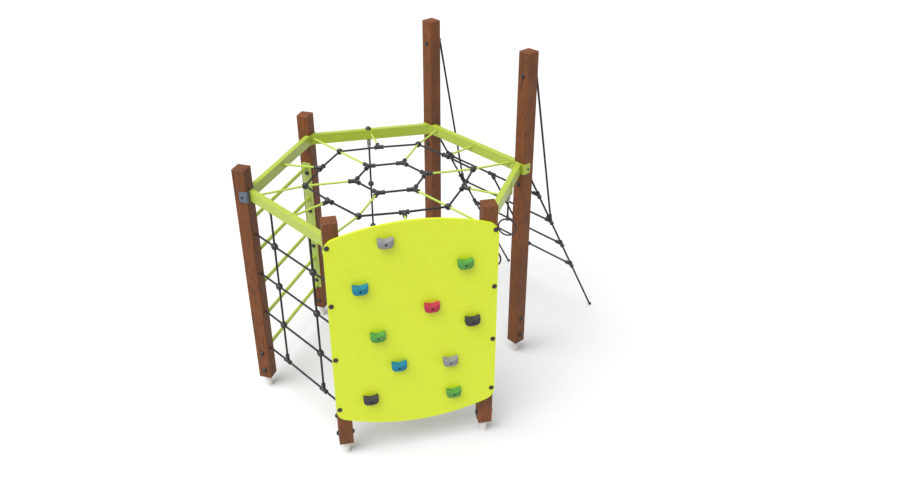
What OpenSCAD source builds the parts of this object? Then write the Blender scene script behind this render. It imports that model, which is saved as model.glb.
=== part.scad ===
// Six-post hexagonal play climber: climbing panel, side net, ladder, rope web,
// inclined net, knotted climbing rope and a pair of hanging hand rings.
// Millimetres, +Z up, ground at Z = 0, the climbing panel faces -Y.

/* [Posts] */
// Distance from the hexagon's centre to the axis of each post
hex_r = 1000; // [960:5:1040]
// Width of a square post across its faces
post_w = 98; // [94:1:102]
// Height of the top of the four short posts
short_top = 1870; // [1850:5:1950]
// Height of the top of the two tall posts
tall_top = 2532; // [2480:2:2700]
// Height of the lower end of the wood above the ground
wood_bottom = 100; // [80:5:120]
// Diameter of the steel tube under each post
foot_d = 48; // [44:1:52]

/* [Beams] */
// Width of a ring beam
beam_w = 40; // [36:1:44]
// Height of a ring beam
beam_h = 80; // [70:2:90]
// Height of the underside of the ring beams
beam_z = 1630; // [1610:5:1650]
// Inward offset of a beam's middle from the line between post axes
beam_inset = 29; // [27:1:30]

/* [Climbing panel] */
// Half of the panel's width
panel_half_w = 554; // [550:1:560]
// Thickness of the panel
panel_t = 18; // [15:1:21]
// Height of the middle of the arched upper edge
panel_top = 1840; // [1820:5:1860]
// Height of the middle of the arched lower edge
panel_low = 248; // [230:2:270]

/* [Ropes and nets] */
// Diameter of every rope
rope_d = 16; // [14:1:16]
// Height of the rope web's plane
web_z = 1678; // [1670:1:1686]
// Distance from the web's centre to an outer ball
web_outer_r = 602; // [580:2:610]
// Distance from the web's centre to an inner connector
web_inner_r = 253; // [240:1:270]
// Distance from the inclined net's side line to its ground points
ramp_reach = 966; // [940:2:990]

/* [Ladder] */
// Diameter of a ladder rung
rung_d = 27; // [25:1:30]
// Width of a ladder side plate
ladder_plate_w = 76; // [70:1:80]

/* [Hanging pieces] */
// Outer diameter of a hand ring
ring_d = 142; // [136:1:150]
// Thickness of a hand ring's bar
ring_bar = 12; // [11:1:14]
// Height of the centre of the hand rings
ring_z = 1333; // [1310:1:1350]
// Diameter of a ball knot on the climbing rope
knot_d = 47; // [42:1:52]

/* [Hidden] */
$fn = 48;

// Colours
wood = "#985a2c";
lime = "#c9dd54";
pale_green = "#c8dc9a";
panel_lime = "#d8eb3f";
rope_black = "#2e3032";
rope_green = "#b9cf52";
steel = "#c9c9c9";
fit = 0.1;              // running gap around a rope or bolt in its hole

// Posts. In a post's own frame +X faces its square-ended beam's other post
// and +Y is the face that looks into the hexagon.
half_post = post_w / 2;
post_round = 6;
post_bevel = 5;
foot_r = foot_d / 2;
foot_wall = 4;
foot_free = wood_bottom - 4;            // length of the full diameter, up to just below the wood
foot_in_r = foot_r - 0.6;               // inside the post
foot_top = 365;
foot_bolt_z = [172, 331];
bolt_r = 5;
// [angle round the hexagon, direction of +X, handedness, height of the top]
post_a_data = [-120, 0, 1, short_top];
post_b_data = [-60, 180, -1, short_top];
post_c_data = [180, 60, -1, short_top];
post_d_data = [120, 240, 1, short_top];
post_e_data = [60, -60, -1, tall_top];
post_f_data = [0, 120, 1, tall_top];
all_posts = [post_a_data, post_b_data, post_c_data, post_d_data, post_e_data, post_f_data];

// Sides. A side is named by the direction that it faces. In a side's frame +X
// runs along it, +Y points out, and Y = 0 is the line between post axes.
side_ab = -90;
side_bf = -30;
side_fe = 30;
side_ed = 90;
side_dc = 150;
side_ca = 210;
half_side = hex_r / 2;
apothem = hex_r * cos(30);
beam_wall = 4;
beam_in = -beam_inset - beam_w / 2;     // inner face of a beam
beam_top = beam_z + beam_h;
oblique = 30;                           // turn of a post against an oblique side

// Brackets
bracket_t = 5;
bracket_out = half_post + bracket_t;
bracket_short_leg = 42;
bracket_long_leg = 60;
bracket_corner = 12;
screw_r = 4;
screw_from_corner = 39;
screw_z = 1664;

// Panel
panel_back = -apothem - half_post;
panel_front = panel_back - panel_t;
panel_top_r = 1600;
panel_low_r = 1400;
panel_corner_r = 90;
panel_bolt_x = 532;
panel_bolt_z = [436, 860, 1284, 1709];
panel_cap_r = 17;

// Holds: [x, z] of each centre
grey_holds = [[-173, 1718], [234, 741]];
green_holds = [[333, 1500], [-248, 1021], [257, 463]];
blue_holds = [[-345, 1402], [-116, 760]];
red_holds = [[112, 1201]];
charcoal_holds = [[384, 1052], [-317, 505]];
all_holds = concat(grey_holds, green_holds, blue_holds, red_holds, charcoal_holds);
hold_depth = 48;
hold_bolt_r = 5;
hold_bolt_drop = 8;     // how far the bolt sits below the hold's centre

// Ropes
rope_r = rope_d / 2;
rope_gap = 10;          // from a connector's centre to the end of a rope in it
ball_gap = 15;          // the same in a web ball, where four ropes meet
tee_r = 15;
tee_half = 31;
tee_leg = 54;
wye_r = 15;
wye_start = 9;          // where an arm starts, so that the arms only meet in the hub
wye_hub_r = 18.5;       // covers the inner ends of the arms
wye_leg = 48;
cross_ball_r = 25;

// Side net
net_x = 226;
net_row_z = [1355, 1028, 695];
net_tee_z = 368;
net_end_z = 360;

// Ladder
plate_t = 6;
plate_low = 315;
plate_high = 1480;
rung_z = [335, 612, 889, 1167, 1442];
ladder_bolt_z = [386, 722, 1050, 1390];
ladder_cap_r = 18;

// Web: its centre stands a little towards the inclined net
web_shift = 22;
web_c = [web_shift * cos(side_fe), web_shift * sin(side_fe)];
web_tee_r = 534;
web_end_z = 1672;
web_ball_r = 20;
web_ball_lobe = 5;
// Beam points of the radial ropes by direction: [direction, side, distance along the side]
radial_ends = [
  [60, side_fe, -400], [0, side_fe, 400], [120, side_ed, -448],
  [-60, side_bf, 448], [180, side_ca, 404], [-120, side_ca, -404]
];

// Inclined net: distances out from the side line, and heights
ramp_eye_y = 86;
ramp_low_eye_z = 1537;
ramp_high_eye_z = 2363;
ramp_top = [90, 1530];
ramp_tee_y = [184, 350, 502, 650];
eye_ring_r = 14;
eye_bar_r = 5;
eye_bolt_r = 6;
thimble_r = 12;
thimble_bar_r = 4;
plug_r = 11;
plug_h = 16;
stay_gap = 54;
stay_leg = 66;
stay_arm_r = 12;

// Swivel joint: upper pin along X-across, lower pin square to it
pin_r = 4;
pin_fit = 0.05;
pin_drop = 23;
fork_r = 15;
tab_half = 4;
tab_r = 8.5;
neck_half = 7.5;
slot_half = 4.35;
cheek_r = 9.5;

// Climbing rope, which hangs from the beam between posts D and E
rope_x = -20;
rope_y = 837;
rope_pin_z = 1612;
rope_cap_r = 22.5;
rope_cap_h = 22;
rope_ferrule_low = 1545;
knot_z = [1232, 840, 448];
rope_route = [
  [-20, 837, 1560], [-20, 837, 1480], [-20, 837, 1400], [-20, 837, 1320], [-20, 837, 1240],
  [-20, 837, 1160], [-20, 837, 1080], [-20, 837, 1000], [-20, 837, 920], [-20, 837, 840],
  [-20, 837, 760], [-20, 837, 680], [-20, 837, 600], [-20, 837, 520], [-20, 837, 440],
  [-20, 837, 360], [-20, 837, 300]
];
rope_sides = 10;
rope_end_cap_r = 11;

// Hand rings, which hang from the beam between posts B and F
ring_x = [-163, 283];     // along the beam from its middle
ring_pin_z = 1606;
ring_ferrule_low = 1540;
ring_bar_r = ring_bar / 2;
ring_r = ring_d / 2 - ring_bar_r;
ring_rope_r = 7;

// The origin is under the middle of the whole object's box
post_reach = (half_post - post_round) * (cos(30) + sin(30)) + post_round;
x_low = -hex_r - post_reach;
x_high = hex_r + ramp_reach * cos(30) + plug_r;
y_low = panel_front - hold_depth;
y_high = apothem + ramp_reach * sin(30) + plug_r;
centre = [(x_low + x_high) / 2, (y_low + y_high) / 2];

// ---- Shared places and shapes ----

module place() translate([-centre.x, -centre.y, 0]) children();

module at_post(p)
  translate([hex_r * cos(p[0]), hex_r * sin(p[0]), 0])
    rotate([0, 0, p[1]]) mirror([0, p[2] < 0 ? 1 : 0, 0]) children();

module on_side(m) rotate([0, 0, m - 90]) translate([0, apothem, 0]) children();

// A point of a side's frame in the hexagon's frame
function side_point(m, x, y, z) = [
  x * cos(m - 90) - (apothem + y) * sin(m - 90),
  x * sin(m - 90) + (apothem + y) * cos(m - 90),
  z
];
function unit(v) = v / norm(v);
function polar(r, a, z) = [web_c.x + r * cos(a), web_c.y + r * sin(a), z];

// Round bar from point p to point q
module rod(p, q, r) {
  v = q - p;
  translate(p) rotate([0, acos(v.z / norm(v)), atan2(v.y, v.x)]) cylinder(h = norm(v), r = r);
}

// Rope from p to q that stops short of each by a gap
module rope(p, q, gap_p, gap_q) {
  d = unit(q - p);
  rod(p + d * gap_p, q - d * gap_q, rope_r);
}

// Hole for a rope that leaves p towards direction d
module socket(p, d, gap) rod(p + d * (gap - 2 * fit), p + d * 100, rope_r + fit);

module cylinder_x(r, len) rotate([0, 90, 0]) cylinder(h = len, r = r, center = true);
module cylinder_y(r, len) rotate([90, 0, 0]) cylinder(h = len, r = r, center = true);

// Spherical cap that stands on Z = 0
module dome(r, h) {
  ball_r = (r * r + h * h) / (2 * h);
  intersection() {
    translate([0, 0, h - ball_r]) sphere(r = ball_r);
    translate([-2 * r, -2 * r, 0]) cube([4 * r, 4 * r, h + 1]);
  }
}

// Domed cap with a short straight rim
module dome_cap(r, h) {
  rim = 3;
  cylinder(h = rim, r = r);
  translate([0, 0, rim]) dome(r, h - rim);
}

module rounded_square(w, r) {
  square([w, w - 2 * r], center = true);
  square([w - 2 * r, w], center = true);
  for (x = [-1, 1], y = [-1, 1]) translate([x, y] * (w / 2 - r)) circle(r = r);
}

// ---- Posts and feet ----

module foot_bolt_holes() for (z = foot_bolt_z) translate([0, 0, z]) cylinder_x(bolt_r + fit, 2 * post_w);

module post_blank(top) {
  cut = post_bevel * sqrt(2);
  difference() {
    translate([0, 0, wood_bottom]) linear_extrude(top - wood_bottom) rounded_square(post_w, post_round);
    for (a = [0:90:270], z = [wood_bottom, top])
      rotate([0, 0, a]) translate([half_post, 0, z]) rotate([0, 45, 0])
        cube([cut, 2 * post_w, cut], center = true);
    translate([0, 0, wood_bottom - 1]) cylinder(h = foot_top - wood_bottom + 2, r = foot_in_r + fit);
    foot_bolt_holes();
    translate([-half_post, half_post - screw_from_corner, screw_z]) cylinder_x(screw_r + fit, 62);
  }
}

module post(p) color(wood) place() at_post(p) difference() {
  post_blank(p[3]);
  children();
}

// Holes that run into a post's outer face for the panel's bolts
module panel_bolt_holes()
  for (z = panel_bolt_z)
    translate([half_side - panel_bolt_x, -half_post, z]) cylinder_y(bolt_r + fit, 122);

// Holes that run into a post for the bolts of a ladder plate
module ladder_bolt_holes()
  for (z = ladder_bolt_z) translate([half_post, 0, z]) cylinder_x(bolt_r + fit, 122);

// Through holes for the inclined net's eye bolts
module eye_bolt_holes()
  for (z = [ramp_low_eye_z, ramp_high_eye_z]) translate([0, 0, z]) cylinder_y(eye_bolt_r + fit, 2 * post_w);

module post_a() post(post_a_data) panel_bolt_holes();
module post_b() post(post_b_data) panel_bolt_holes();
module post_c() post(post_c_data) ladder_bolt_holes();
module post_d() post(post_d_data) ladder_bolt_holes();
module post_e() post(post_e_data) eye_bolt_holes();
module post_f() post(post_f_data) eye_bolt_holes();

module foot_tubes() color(steel) place() for (p = all_posts) at_post(p) difference() {
  union() {
    cylinder(h = foot_free, r = foot_r);
    cylinder(h = foot_top, r = foot_in_r);
  }
  translate([0, 0, foot_wall]) cylinder(h = foot_top, r = foot_r - foot_wall);
  foot_bolt_holes();
}

// A ladder plate covers the inner end of its post's upper bolt, which is flush there
function plate_covers(p, z) = z > plate_low && (p == post_c_data || p == post_d_data);

module foot_bolts() color(rope_black) place() for (p = all_posts, z = foot_bolt_z) at_post(p)
  translate([0, 0, z]) {
    ends = plate_covers(p, z) ? [-1] : [-1, 1];
    translate([-half_post - 1, 0, 0]) rotate([0, 90, 0]) cylinder(h = post_w + len(ends), r = bolt_r);
    for (s = ends) rotate([0, 90 * s, 0]) translate([0, 0, half_post]) dome_cap(18, 16);
  }

// ---- Ring beams and their brackets ----

module end_blocks(half, turn)
  for (s = [-1, 1]) translate([s * half_side, 0, beam_z - 1]) rotate([0, 0, s * turn])
    translate([-half, -half, 0]) cube([2 * half, 2 * half, beam_h + 2]);

module beam(m, turn) color(lime) place() on_side(m) difference() {
  translate([-half_side, beam_in, beam_z]) cube([2 * half_side, beam_w, beam_h]);
  difference() {
    translate([-half_side, beam_in + beam_wall, beam_z + beam_wall])
      cube([2 * half_side, beam_w - 2 * beam_wall, beam_h - 2 * beam_wall]);
    end_blocks(bracket_out + beam_wall, turn);
  }
  end_blocks(bracket_out, turn);
  children();
}

module beam_ab() beam(side_ab, 0);
module beam_bf() beam(side_bf, oblique)
  for (x = ring_x) translate([x, -beam_inset, beam_z + beam_h / 2]) cylinder_y(bolt_r + fit, 100);
module beam_fe() beam(side_fe, 0);
module beam_ed() beam(side_ed, oblique)
  translate([rope_x, -beam_inset, beam_z - 1]) cylinder(h = beam_h + 2, r = bolt_r + fit);
module beam_dc() beam(side_dc, 0);
module beam_ca() beam(side_ca, oblique);

module bracket_outline() intersection() {
  difference() {
    rounded_square(2 * bracket_out, post_round + bracket_t);
    rounded_square(post_w, post_round);
  }
  union() {
    translate([-bracket_out, half_post - bracket_long_leg]) square([bracket_out, 2 * post_w]);
    translate([-1, bracket_out - bracket_short_leg]) square([2 * post_w, post_w]);
  }
}

// Rounds the two free corners of a bracket's long leg
module bracket_corner_cut()
  for (s = [-1, 1])
    translate([-half_post, half_post - bracket_long_leg, beam_z + beam_h / 2 + s * (beam_h / 2 - bracket_corner)])
      difference() {
        translate([-20, -1, s < 0 ? -bracket_corner - 1 : 0]) cube([40, bracket_corner + 1, bracket_corner + 1]);
        translate([0, bracket_corner, 0]) cylinder_x(bracket_corner, 60);
      }

module beam_brackets() color(pale_green) place() for (p = all_posts) at_post(p) difference() {
  translate([0, 0, beam_z]) linear_extrude(beam_h) bracket_outline();
  bracket_corner_cut();
  translate([-half_post, half_post - screw_from_corner, screw_z]) cylinder_x(screw_r + fit, 62);
}

module bracket_screws() color(rope_black) place() for (p = all_posts) at_post(p)
  translate([-bracket_out, half_post - screw_from_corner, screw_z]) rotate([0, -90, 0]) {
    translate([0, 0, -32]) cylinder(h = 33, r = screw_r);
    dome_cap(9, 6);
  }

// ---- Climbing panel and its holds ----

// Points of an arc about c from angle a to angle b
function arc(c, r, a, b, n) = [for (i = [0:n]) c + r * [cos(a + (b - a) * i / n), sin(a + (b - a) * i / n)]];

// Outline of the panel: two shallow arches joined by round corners and straight sides
corner_x = panel_half_w - panel_corner_r;
top_c = [0, panel_top - panel_top_r];
low_c = [0, panel_low + panel_low_r];
top_corner = [corner_x, top_c.y + sqrt(pow(panel_top_r - panel_corner_r, 2) - corner_x * corner_x)];
low_corner = [corner_x, low_c.y - sqrt(pow(panel_low_r - panel_corner_r, 2) - corner_x * corner_x)];
top_turn = atan2(top_corner.y - top_c.y, corner_x);
low_turn = atan2(low_c.y - low_corner.y, corner_x);
right_half = concat(
  arc(low_c, panel_low_r, -90, -low_turn, 8),
  arc(low_corner, panel_corner_r, -low_turn, 0, 8),
  arc(top_corner, panel_corner_r, 0, top_turn, 8),
  arc(top_c, panel_top_r, top_turn, 90, 8)
);
left_half = [for (i = [len(right_half) - 2:-1:1]) [-right_half[i].x, right_half[i].y]];

module in_panel_face(x, z) translate([x, panel_front, z]) rotate([90, 0, 0]) children();

module climbing_panel() color(panel_lime) place() difference() {
  translate([0, panel_back, 0]) rotate([90, 0, 0]) linear_extrude(panel_t) polygon(concat(right_half, left_half));
  for (x = [-panel_bolt_x, panel_bolt_x], z = panel_bolt_z)
    in_panel_face(x, z) cylinder(h = 60, r = bolt_r + fit, center = true);
  for (h = all_holds)
    in_panel_face(h.x, h.y - hold_bolt_drop) cylinder(h = 60, r = hold_bolt_r + fit, center = true);
}

module panel_bolts() color(rope_black) place()
  for (x = [-panel_bolt_x, panel_bolt_x], z = panel_bolt_z) in_panel_face(x, z) {
    translate([0, 0, -75]) cylinder(h = 76, r = bolt_r);
    dome_cap(panel_cap_r, 11);
  }

// Block outline with raised corners, a hollowed upper edge and round lower corners
module hold_outline() difference() {
  intersection() {
    translate([0, 8]) circle(r = 58);
    translate([-50, -38]) square([100, 68]);
  }
  translate([0, 118]) circle(r = 100);
}

// One climbing hold; +Z stands out from the panel and +Y is up
module hold() difference() {
  intersection() {
    linear_extrude(hold_depth + 10) hold_outline();
    translate([0, 8, -60]) sphere(r = hold_depth + 60);
  }
  translate([0, 54, 22]) sphere(r = 42);
  translate([0, -hold_bolt_drop, -1]) cylinder(h = 80, r = hold_bolt_r + fit);
  translate([0, -hold_bolt_drop, 30]) cylinder(h = 80, r = 9);
}

module holds(list) place() for (h = list) in_panel_face(h.x, h.y) hold();

module holds_grey() color("#969698") holds(grey_holds);
module holds_green() color("#55aa46") holds(green_holds);
module holds_blue() color("#0082af") holds(blue_holds);
module holds_red() color("#cd2d46") holds(red_holds);
module holds_charcoal() color("#414144") holds(charcoal_holds);

module hold_bolts() color(steel) place() for (h = all_holds) in_panel_face(h.x, h.y - hold_bolt_drop) {
  translate([0, 0, -panel_t - 8]) cylinder(h = panel_t + 39, r = hold_bolt_r);
  translate([0, 0, 30]) cylinder(h = 6, r = 8);
  translate([0, 0, -panel_t - 8]) cylinder(h = 8, r = 11);
}

// ---- Rope connectors ----

// Moulded T at p: a straight body along t, a leg, and a hole for each rope
module tee(p, t, leg, ropes) difference() {
  union() {
    rod(p - t * tee_half, p + t * tee_half, tee_r);
    rod(p, p + leg * tee_leg, tee_r - 0.8);
    children();
  }
  for (d = ropes) socket(p, d, rope_gap);
}

// Round two-part clamp where two ropes cross, turned so that no rope leaves at a pole
module cross_ball(p, dirs) difference() {
  translate(p) rotate([90, 0, 0]) rotate([0, 0, 45]) sphere(r = cross_ball_r);
  for (d = dirs) socket(p, d, rope_gap);
}

// ---- Side net between posts C and A ----

net_y = -beam_inset;
function net_point(x, z) = [x, net_y, z];
net_column_z = concat([beam_z], net_row_z, [net_tee_z]);

module net_uprights() color(rope_black) place() on_side(side_ca)
  for (x = [-net_x, net_x], i = [0:3])
    rope(net_point(x, net_column_z[i]), net_point(x, net_column_z[i + 1]), i == 0 ? 0 : rope_gap, rope_gap);

module net_rungs() color(rope_black) place() on_side(side_ca) difference() {
  union() {
    for (z = net_row_z) {
      rope(net_point(-net_x, z), net_point(net_x, z), rope_gap, rope_gap);
      for (s = [-1, 1]) rope(net_point(s * net_x, z), net_point(s * half_side, z), rope_gap, 0);
    }
    rope(net_point(-net_x, net_tee_z), net_point(net_x, net_tee_z), rope_gap, rope_gap);
    for (s = [-1, 1]) rope(net_point(s * net_x, net_tee_z), net_point(s * half_side, net_end_z), rope_gap, 0);
  }
  translate([0, 0, -beam_z]) for (s = [-1, 1]) translate([s * half_side, 0, 0]) rotate([0, 0, s * oblique])
    translate([-half_post, -half_post, 0]) cube([post_w, post_w, 2 * tall_top]);
}

module net_connectors() color(rope_black) place() on_side(side_ca) {
  across = [1, 0, 0];
  up = [0, 0, 1];
  for (x = [-net_x, net_x]) {
    for (z = net_row_z) cross_ball(net_point(x, z), [across, -across, up, -up]);
    inward = [-sign(x), 0, 0];
    outward = unit([sign(x) * (half_side - net_x), 0, net_end_z - net_tee_z]);
    tee(net_point(x, net_tee_z), unit(outward - inward), up, [inward, outward, up]);
    difference() {
      translate(net_point(x, beam_z - 14)) cylinder(h = 14, r = 13);
      translate(net_point(x, beam_z - 20)) cylinder(h = 40, r = rope_r + fit);
    }
  }
}

// ---- Ladder between posts D and C ----

plate_in = half_side - half_post - plate_t;

module ladder_plate(s) color(pale_green) place() on_side(side_dc) difference() {
  w = ladder_plate_w / 2;
  r = 14;
  translate([s * (plate_in + plate_t / 2), 0, 0]) rotate([90, 0, 90]) linear_extrude(plate_t, center = true)
    union() {
      translate([-w + r, plate_low]) square([2 * w - 2 * r, plate_high - plate_low]);
      translate([-w, plate_low + r]) square([2 * w, plate_high - plate_low - 2 * r]);
      for (y = [-w + r, w - r], z = [plate_low + r, plate_high - r]) translate([y, z]) circle(r = r);
    }
  for (z = ladder_bolt_z) translate([s * half_side, 0, z]) cylinder_x(bolt_r + fit, 200);
}

module ladder_plate_c() ladder_plate(-1);
module ladder_plate_d() ladder_plate(1);

module ladder_rungs() color(lime) place() on_side(side_dc)
  for (z = rung_z) translate([0, 0, z]) cylinder_x(rung_d / 2, 2 * plate_in);

module ladder_bolts() color(rope_black) place() on_side(side_dc)
  for (s = [-1, 1], z = ladder_bolt_z) translate([s * plate_in, 0, z]) rotate([0, -90 * s, 0]) {
    translate([0, 0, -60]) cylinder(h = 61, r = bolt_r);
    dome_cap(ladder_cap_r, 12);
  }

// ---- Rope web ----

hex_dirs = [0:60:300];
function web_node(a) = polar(web_outer_r, a, web_z);
function web_tee(a) = polar(web_tee_r, a + 30, web_z);
function web_wye(a) = polar(web_inner_r, a, web_z);
function beam_mid(a) = side_point(a + 30, 0, beam_in, web_end_z);
function radial_end(e) = side_point(e[1], e[2], beam_in, web_z);

module web_outer_ropes() color(rope_black) place() for (a = hex_dirs) {
  rope(web_node(a), web_tee(a), ball_gap, rope_gap);
  rope(web_tee(a), web_node(a + 60), rope_gap, ball_gap);
}

module web_inner_ropes() color(rope_black) place()
  for (a = hex_dirs) rope(web_wye(a), web_wye(a + 60), rope_gap, rope_gap);

// Cuts what would run into the beams
module beam_cut() for (m = [side_ab:60:side_ca]) on_side(m)
  translate([-half_side, beam_in - fit, beam_z]) cube([2 * half_side, beam_w, beam_h]);

module web_radial_ropes() color(rope_green) place() {
  for (a = hex_dirs) rope(web_wye(a), web_node(a), rope_gap, ball_gap);
  difference() {
    for (e = radial_ends) rope(web_node(e[0]), radial_end(e), ball_gap, -20);
    beam_cut();
  }
}

module web_short_ropes() color(rope_green) place() difference() {
  for (a = hex_dirs) rope(web_tee(a), beam_mid(a), rope_gap, -10);
  beam_cut();
}

module web_balls() color(rope_black) place() for (e = radial_ends) {
  a = e[0];
  p = web_node(a);
  difference() {
    for (s = [-1, 1]) translate(p + [0, 0, s * web_ball_lobe]) rotate([0, 0, a + 60]) sphere(r = web_ball_r);
    for (q = [web_tee(a), web_tee(a - 60), web_wye(a), radial_end(e)]) socket(p, unit(q - p), ball_gap);
  }
}

module web_tees() color(rope_black) place() for (a = hex_dirs) {
  p = web_tee(a);
  ropes = [for (q = [web_node(a), web_node(a + 60), beam_mid(a)]) unit(q - p)];
  tee(p, unit(ropes[1] - ropes[0]), ropes[2], ropes);
}

module web_wyes() color(rope_black) place() for (a = hex_dirs) {
  p = web_wye(a);
  ropes = [for (q = [web_wye(a + 60), web_wye(a - 60), web_node(a)]) unit(q - p)];
  difference() {
    union() {
      translate(p) rotate([0, 0, a + 60]) sphere(r = wye_hub_r);
      for (d = ropes) rod(p + d * wye_start, p + d * wye_leg, wye_r);
    }
    for (d = ropes) socket(p, d, rope_gap);
  }
}

// Rings on the beams' inner faces that the green ropes pass into
module web_eyelets() color(rope_black) place() difference() {
  union() {
    for (e = radial_ends) on_side(e[1]) translate([e[2], beam_in - 4, web_z]) rotate([-90, 0, 0]) cylinder(h = 4, r = 13);
    for (a = hex_dirs) on_side(a + 30) translate([0, beam_in - 4, web_end_z]) rotate([-90, 0, 0]) cylinder(h = 4, r = 13);
  }
  for (e = radial_ends) rod(web_node(e[0]), radial_end(e) + 20 * unit(radial_end(e) - web_node(e[0])), rope_r + fit);
  for (a = hex_dirs) rod(web_tee(a), beam_mid(a) + 20 * unit(beam_mid(a) - web_tee(a)), rope_r + fit);
}

// ---- Inclined net outside posts E and F ----

function ramp_z(y) = ramp_top[1] * (ramp_reach - y) / (ramp_reach - ramp_top[0]);
function ramp_tee_point(x, i) = [x, ramp_tee_y[i], ramp_z(ramp_tee_y[i])];
ramp_ground = ramp_reach;
ramp_dir = unit([0, ramp_reach - ramp_top[0], -ramp_top[1]]);
stay_dir = unit(ramp_tee_point(0, 1) - [0, ramp_eye_y, ramp_high_eye_z]);
function low_eye(x) = [x, ramp_eye_y, ramp_low_eye_z];
function high_eye(x) = [x, ramp_eye_y, ramp_high_eye_z];
thimble_shift = thimble_r - eye_bar_r - thimble_bar_r - 0.5;
thimble_reach = thimble_shift + thimble_r + thimble_bar_r;

module ramp_side_ropes() color(rope_black) place() on_side(side_fe) for (x = [-half_side, half_side]) {
  stops = concat([low_eye(x) + ramp_dir * thimble_reach], [for (i = [0:3]) ramp_tee_point(x, i)]);
  for (i = [0:3]) rope(stops[i], stops[i + 1], i == 0 ? 0 : rope_gap, rope_gap);
  intersection() {
    rope(stops[4], [x, ramp_ground, 0], rope_gap, -20);
    translate([x - 50, 0, plug_h - 4]) cube([100, 2 * ramp_reach, tall_top]);
  }
}

module ramp_inner_ropes() color(rope_black) place() on_side(side_fe) {
  for (i = [0:3], s = [-1, 1])
    rope(ramp_tee_point(0, i), ramp_tee_point(s * half_side, i), rope_gap, rope_gap);
  for (i = [0:2]) rope(ramp_tee_point(0, i), ramp_tee_point(0, i + 1), rope_gap, rope_gap);
}

module ramp_stay_ropes() color(rope_black) place() on_side(side_fe)
  for (x = [-half_side, half_side])
    rope(high_eye(x) + stay_dir * thimble_reach, ramp_tee_point(x, 1), 0, stay_gap);

module ramp_connectors() color(rope_black) place() on_side(side_fe) {
  across = [1, 0, 0];
  for (s = [-1, 1], i = [0, 2, 3])
    tee(ramp_tee_point(s * half_side, i), ramp_dir, -s * across, [ramp_dir, -ramp_dir, -s * across]);
  for (s = [-1, 1]) difference() {
    p = ramp_tee_point(s * half_side, 1);
    tee(p, ramp_dir, -s * across, [ramp_dir, -ramp_dir, -s * across]) rod(p, p - stay_dir * stay_leg, stay_arm_r);
    socket(p, -stay_dir, stay_gap);
  }
  tee(ramp_tee_point(0, 0), across, ramp_dir, [across, -across, ramp_dir]);
  tee(ramp_tee_point(0, 3), across, -ramp_dir, [across, -across, -ramp_dir]);
  for (i = [1, 2]) cross_ball(ramp_tee_point(0, i), [across, -across, ramp_dir, -ramp_dir]);
}

module torus(ring, bar) rotate_extrude() translate([ring, 0]) circle(r = bar);

module ramp_eye_bolts() color(steel) place() on_side(side_fe)
  for (x = [-half_side, half_side], z = [ramp_low_eye_z, ramp_high_eye_z]) translate([x, 0, z]) {
    translate([0, (ramp_eye_y - 2 * eye_ring_r) / 2 - half_post / 2, 0])
      cylinder_y(eye_bolt_r, ramp_eye_y - 2 * eye_ring_r + half_post);
    translate([0, half_post + 2.5, 0]) cylinder_y(18, 5);
    translate([0, ramp_eye_y - eye_ring_r, 0]) torus(eye_ring_r, eye_bar_r);
    translate([0, -half_post, 0]) rotate([90, 0, 0]) dome_cap(18, 12);
  }

module thimble(p, d) translate(p + d * thimble_shift) rotate([0, 90, 0]) torus(thimble_r, thimble_bar_r);

module ramp_thimbles() color(steel) place() on_side(side_fe) for (x = [-half_side, half_side]) {
  thimble(low_eye(x), ramp_dir);
  thimble(high_eye(x), stay_dir);
}

module ramp_ground_plugs() color(rope_black) place() on_side(side_fe)
  for (x = [-half_side, half_side]) difference() {
    translate([x, ramp_ground, 0]) cylinder(h = plug_h, r = plug_r);
    intersection() {
      rod([x, ramp_tee_y[3], ramp_z(ramp_tee_y[3])], [x, ramp_ground, 0], rope_r + fit);
      translate([x - 50, 0, plug_h - 4 - fit]) cube([100, 2 * ramp_reach, 100]);
    }
  }

// ---- Swivels of the hanging pieces ----
// In each, the upper pin lies along Y at the origin and the lower pin along X.

// Eye that the upper pin passes through, on a neck that goes up
module fixed_eye(neck) difference() {
  union() {
    cylinder_y(tab_r, 2 * tab_half);
    translate([-neck_half, -tab_half, 0]) cube([2 * neck_half, 2 * tab_half, neck]);
  }
  cylinder_y(pin_r + pin_fit, 20);
}

module swivel_block() {
  difference() {
    translate([0, 0, -13]) cylinder(h = 23, r = fork_r);
    translate([-20, -slot_half, -10]) cube([40, 2 * slot_half, 30]);
  }
  cylinder_y(pin_r, 2 * fork_r - 4);
  difference() {
    union() {
      translate([0, 0, -pin_drop]) cylinder_x(tab_r, 2 * tab_half);
      translate([-tab_half, -neck_half, -pin_drop]) cube([2 * tab_half, 2 * neck_half, pin_drop - 12]);
    }
    translate([0, 0, -pin_drop]) cylinder_x(pin_r + pin_fit, 20);
  }
}

// Forked socket under the lower pin, which holds the end of a rope
module ferrule(low, rope_top, hole_r) {
  shoulder = -pin_drop - 2;
  difference() {
    union() {
      translate([0, 0, low]) cylinder(h = shoulder - low, r1 = fork_r - 4, r2 = fork_r);
      intersection() {
        translate([0, 0, shoulder - 8]) cylinder(h = 30, r = fork_r);
        translate([0, 0, -pin_drop]) cylinder_x(cheek_r, 40);
      }
    }
    translate([-slot_half, -20, -pin_drop - 9]) cube([2 * slot_half, 40, 40]);
    translate([0, 0, low - 1]) cylinder(h = rope_top - low + 1 + fit, r = hole_r + fit);
  }
  translate([0, 0, -pin_drop]) cylinder_x(pin_r, 2 * fork_r - 4);
}

// ---- Climbing rope ----

module at_rope() translate([rope_x, rope_y, rope_pin_z]) children();

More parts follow.
